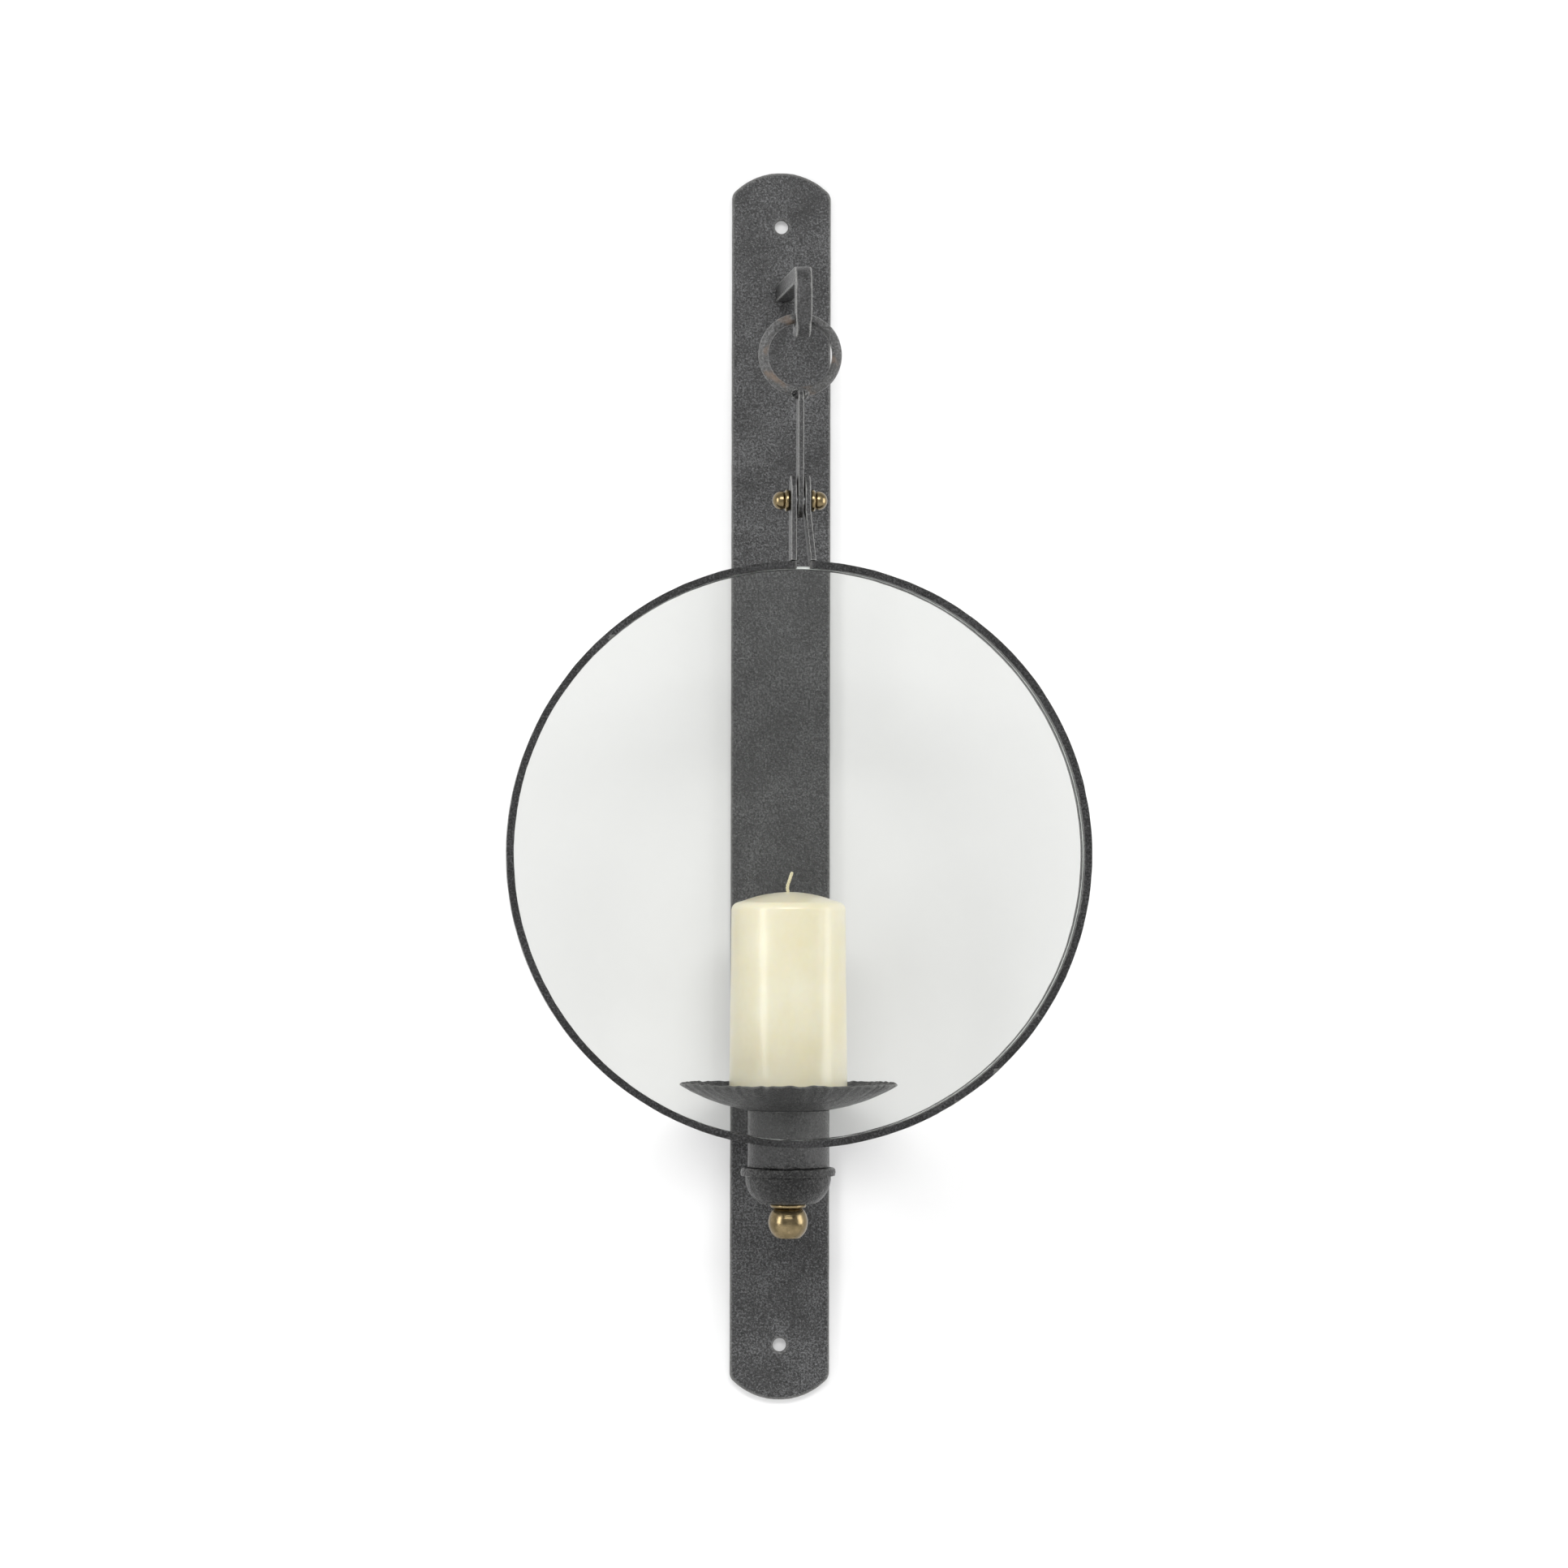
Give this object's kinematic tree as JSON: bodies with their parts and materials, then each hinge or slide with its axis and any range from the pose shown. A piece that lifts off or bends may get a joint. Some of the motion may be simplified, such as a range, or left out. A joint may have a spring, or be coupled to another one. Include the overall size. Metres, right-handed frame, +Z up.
{
  "type": "wall sconce candle holder",
  "caption": "Forged iron wall sconce: a pillar candle on a spiked drip pan, with a clear round glass in an iron hoop hanging in front of it from a hook and ring.",
  "frame": {"origin": "middle of the back plate's rear face, where the plate meets the wall, halfway between the two wall holes", "axes": "+Z up along the plate, +Y into the wall, +X to the right as seen from the room; the sconce stands out towards -Y"},
  "size_m": [0.3366, 0.1683, 0.7398],
  "materials": {
    "forged_iron": "forged, finely pitted, dark grey, lightly waxed",
    "steel": "plain machined steel",
    "brass": "antique brass, polished on the high spots and dark in the corners",
    "wax": "smooth ivory wax, softly translucent",
    "wick_cotton": "braided cotton, waxed",
    "clear_glass": "clear flat glass with a ground edge"
  },
  "bodies": {
    "wall_frame": {"back_plate": "forged_iron", "hook": "forged_iron", "hook_screw": "steel", "cup_arm": "forged_iron", "arm_screws": "steel", "cup_tube": "forged_iron", "drip_pan": "forged_iron", "pricket": "forged_iron", "bowl": "forged_iron", "tie_rod": "steel", "finial_collar": "brass", "finial_ball": "brass"},
    "hanger": {"hanging_ring": "forged_iron", "hanger_strap": "forged_iron", "weld_beads": "forged_iron"},
    "glass_hoop": {"hoop_band": "forged_iron", "left_ear": "forged_iron", "right_ear": "forged_iron", "glass_disc": "clear_glass", "pivot_bolt": "steel", "left_collar": "brass", "right_collar": "brass", "left_dome_nut": "brass", "right_dome_nut": "brass"},
    "candle": {"candle": "wax", "wick": "wick_cotton"}
  },
  "joints": [
    {"name": "ring_sway", "type": "hinge", "parent": "wall_frame", "child": "hanger", "pos_m": [0, -0.155, 0.2569], "axis": [0, 1, 0], "range_deg": [-12, 12]},
    {"name": "glass_swing", "type": "hinge", "parent": "hanger", "child": "glass_hoop", "pos_m": [0, -0.155, 0.1588], "axis": [-1, 0, 0], "range_deg": [-1, 140]},
    {"name": "candle_lift", "type": "slide", "parent": "wall_frame", "child": "candle", "axis": [0, 0, 1], "range_m": [0, 0.06]}
  ]
}
